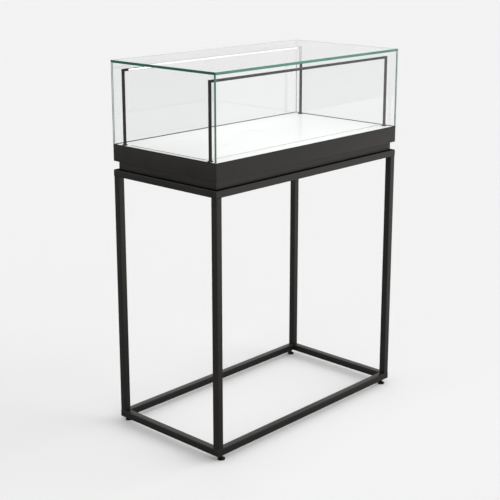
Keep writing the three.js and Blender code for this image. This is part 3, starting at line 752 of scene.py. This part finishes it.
def build_pieces():
    """Makes the finer pieces, and gives the solids that carry over their finishes."""
    stand_coat = powder_coat("stand_powder_coat", base=0.0065, roughness=0.38, shine=0.48)
    # Painted light: the plinth gets a lighter copy of the black powder coat, lifting the shade of its
    # recess under the tray.
    plinth_coat_painted_light = powder_coat("plinth_powder_coat", base=0.014, roughness=0.44, shine=0.40)
    tray_coat = powder_coat("tray_powder_coat", base=0.012, roughness=0.42, shine=0.36)
    # Painted shade: near-black matt finish for the ledge under the plinth, where the shadow line falls.
    ledge_painted_shade = moulded("ledge_shade_black", grey(0.0022), roughness=0.95, grain=1400, strength=0.2, shine=0.02)
    oxide = black_oxide()
    pad_nylon = moulded("pad_nylon", grey(0.006), roughness=0.6, shine=0.2)

    for level, prefix in ((BASE_BOTTOM, "base_rail"), (RAIL_BOTTOM, "top_rail")):
        for side in ("front", "back", "left", "right"):
            name = f"{prefix}_{side}"
            mesh = to_mesh(f"{name}_tube", make_rail(side, level))
            add_piece(f"{name}_tube", mesh, [stand_coat, ledge_painted_shade], "case", [name])
    for side, sy in SIDES:
        for end, sx in ENDS:
            corner = f"{side}_{end}"
            name = f"leg_{corner}"
            mesh = to_mesh(f"{name}_tube", make_leg(sx, sy))
            add_piece(f"{name}_tube", mesh, [stand_coat], "case", [name])
            place = (sx * FOOT_X, sy * FOOT_Y)
            body = f"foot_{corner}"
            mesh = to_mesh(f"pad_{corner}", make_pad(*place))
            add_piece(f"pad_{corner}", mesh, [pad_nylon], body, [f"foot_pad_{corner}"])
            mesh = to_mesh(f"stud_{corner}", make_stud(*place))
            solid = f"foot_stud_{corner}"
            add_piece(f"stud_{corner}", mesh, [oxide], body, [solid], THREAD_SMOOTH_ANGLE)

    mesh = to_mesh("tray_folded", ring_sweep(tray_section(), WELDED_CORNER))
    add_piece("tray_folded", mesh, [tray_coat], "case", ["tray_shell"])

    glass = glass_materials()
    x, y = LENGTH / 2, DEPTH / 2
    wall_top = WALL_TOP - BOND
    inner_y = y - WALL_GLASS - BOND
    plain_edges = (EDGE_SHORT, EDGE_SHORT, EDGE_SHORT)
    pale_ends = (EDGE_PALE, EDGE_SHORT, EDGE_SHORT)
    bonded_ends = (EDGE_SHORT, EDGE_BONDED, EDGE_SHORT)
    top_edges = (EDGE_LONG, (EDGE_SHORT, EDGE_DULL), EDGE_SHORT)
    panes = {
        "front": ((-x, -y, HOOD_BOTTOM), (x, WALL_GLASS - y, wall_top), 1, plain_edges),
        "back": ((-x, y - WALL_GLASS, HOOD_BOTTOM), (x, y, wall_top), 1, pale_ends),
        "left": ((-x, -inner_y, HOOD_BOTTOM), (WALL_GLASS - x, inner_y, wall_top), 0, bonded_ends),
        "right": ((x - WALL_GLASS, -inner_y, HOOD_BOTTOM), (x, inner_y, wall_top), 0, bonded_ends),
        "top": ((-x, -y, WALL_TOP), (x, y, HOOD_TOP), 2, top_edges),
    }
    for side, (low, high, axis, slots) in panes.items():
        mesh = to_mesh(f"pane_{side}", pane(low, high, axis, slots))
        add_piece(f"pane_{side}", mesh, glass, "hood", [f"glass_{side}"], GLASS_SMOOTH_ANGLE)

    plain = {
        "plinth_ring": plinth_coat_painted_light,
        "plinth_cover": plinth_coat_painted_light,
        "deck_ledge_front": tray_coat,
        "deck_ledge_back": tray_coat,
        "deck_board": laminate("deck_laminate", base=0.93, roughness=0.42, core_and_shade=DECK_CORE),
        "display_panel": laminate("panel_acrylic", base=0.94, roughness=0.32, core_and_shade=PANEL_EDGE_SHADE),
        "hood_seal": rubber(),
        "led_driver": moulded("driver_case", (0.02, 0.02, 0.021), roughness=0.5),
    }
    plain["power_inlet"] = plain["led_driver"]
    light_metal = anodised("light_anodised", base=0.005, roughness=0.6)
    corner_nylon = moulded("corner_nylon", grey(0.005), roughness=0.6, shine=0.03)
    diffuser, strip = lit_diffuser(), circuit_strip()
    for side, _ in SIDES:
        plain[f"light_bar_{side}"] = light_metal
        plain[f"light_diffuser_{side}"] = diffuser
        plain[f"led_strip_{side}"] = strip
        for end, _ in ENDS:
            corner = f"{side}_{end}"
            plain[f"light_post_{corner}"] = light_metal
            plain[f"light_corner_{corner}"] = corner_nylon
            plain[f"foot_insert_{corner}"] = oxide
            plain[f"plinth_bolt_{corner}"] = oxide
    for name, material in plain.items():
        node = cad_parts[name]
        node.data.materials.clear()
        node.data.materials.append(material)


# ---------------------------------------------------------------- floor and light

FLOOR_HALF = 60.0
FLOOR_COLOUR = 0.94
MIRRORED_NEAR = 0.28
MIRRORED_FAR = 0.97
MIRRORED_START = 0.2
MIRRORED_END = 2.2


def make_floor():
    """A pale studio floor. Reflections see it in a painted tone: darker, with a painted pool of light
    toward the front right.
    """
    bm = bmesh.new()
    bmesh.ops.create_grid(bm, x_segments=1, y_segments=1, size=FLOOR_HALF)
    floor = bpy.data.objects.new("floor", to_mesh("floor", bm))
    bpy.context.scene.collection.objects.link(floor)
    material, t = new_material("floor")
    path = t.node("ShaderNodeLightPath").outputs
    # Painted reflection: rays after a mirror bounce see the floor dark near the case and lighter toward
    # the front right.
    mirrored = t.math("MINIMUM", path["Glossy Depth"], 1.0)
    mirrored = t.math("SUBTRACT", mirrored, path["Is Diffuse Ray"], clamp=True)
    right, back, _ = t.parts(t.place())
    front_right = t.math("MULTIPLY", t.math("SUBTRACT", right, back), math.sqrt(0.5))
    lit = t.spread(front_right, MIRRORED_START, MIRRORED_END, 0.0, 1.0)
    seen = t.blend(lit, grey(MIRRORED_NEAR), grey(MIRRORED_FAR))
    colour = t.blend(mirrored, grey(FLOOR_COLOUR), seen)
    t.finish(t.node("ShaderNodeBsdfDiffuse", {"Color": colour}).outputs[0])
    floor.data.materials.append(material)


WORLD_LEVEL = 0.99
WORLD_RIGHT = 0.25
WORLD_BACK = -0.25
WORLD_PALE = 0.89
KEY_ENERGY = 1.2
KEY_ANGLE = 50
KEY_FROM = (0.8, -0.6, 0.45)
FILL_LEVEL = 1.05
FILL_DROP = 0.02
STRIP_LENGTH = 0.86
STRIP_WIDTH = 0.006
STRIP_Y = 0.195
STRIP_Z = 1.28
STRIP_POWER = 0.33


def make_world():
    """Even studio light, brighter from the front right. The camera, mirrors and glass see a plain tone."""
    world = bpy.data.worlds.new("studio")
    bpy.context.scene.world = world
    t = Tree(world)
    direction = t.node("ShaderNodeTexCoord").outputs["Generated"]
    right, back, _ = t.parts(direction)
    level = t.math("ADD", t.math("MULTIPLY", right, WORLD_RIGHT), t.math("MULTIPLY", back, WORLD_BACK))
    level = t.math("ADD", level, WORLD_LEVEL)
    lamp = t.node("ShaderNodeBackground", {"Strength": level})
    pale = t.node("ShaderNodeBackground", {"Color": grey(WORLD_PALE), "Strength": 1.0})
    seen = t.rays("Is Camera Ray", "Is Glossy Ray", "Is Transmission Ray")
    t.finish(t.choose(seen, lamp.outputs[0], pale.outputs[0]), "ShaderNodeOutputWorld")


def add_lamp(name, data):
    """Links a lamp that lights the surfaces, but that mirrors and glass don't show."""
    lamp = bpy.data.objects.new(name, data)
    lamp.visible_glossy = False
    lamp.visible_transmission = False
    bpy.context.scene.collection.objects.link(lamp)
    return lamp


def add_panel_lamp(name, length, width, power, place):
    """A level lamp that shines down, and that the camera doesn't show."""
    data = bpy.data.lights.new(name, "AREA")
    data.shape = "RECTANGLE"
    data.size = length
    data.size_y = width
    data.energy = power
    lamp = add_lamp(name, data)
    lamp.location = place
    lamp.visible_camera = False


def make_key():
    """A broad, soft lamp from the front right."""
    data = bpy.data.lights.new("key", "SUN")
    data.energy = KEY_ENERGY
    data.angle = math.radians(KEY_ANGLE)
    add_lamp("key", data).rotation_euler = Vector(KEY_FROM).to_track_quat("Z", "Y").to_euler()


def make_fill():
    """Stands in for the sky that the case hides from the floor between the legs."""
    length, width = LENGTH - 2 * TUBE, DEPTH - 2 * TUBE
    power = math.pi * length * width * FILL_LEVEL
    add_panel_lamp("fill", length, width, power, (0, 0, RAIL_BOTTOM - FILL_DROP))


def make_strip_lamps():
    """The light that the two lit bars throw on the deck."""
    for side, sy in SIDES:
        place = (0, sy * STRIP_Y, STRIP_Z)
        add_panel_lamp(f"strip_{side}", STRIP_LENGTH, STRIP_WIDTH, STRIP_POWER, place)


make_camera()
build_pieces()
make_floor()
make_world()
make_key()
make_fill()
make_strip_lamps()
bpy.context.scene.view_settings.view_transform = "Standard"
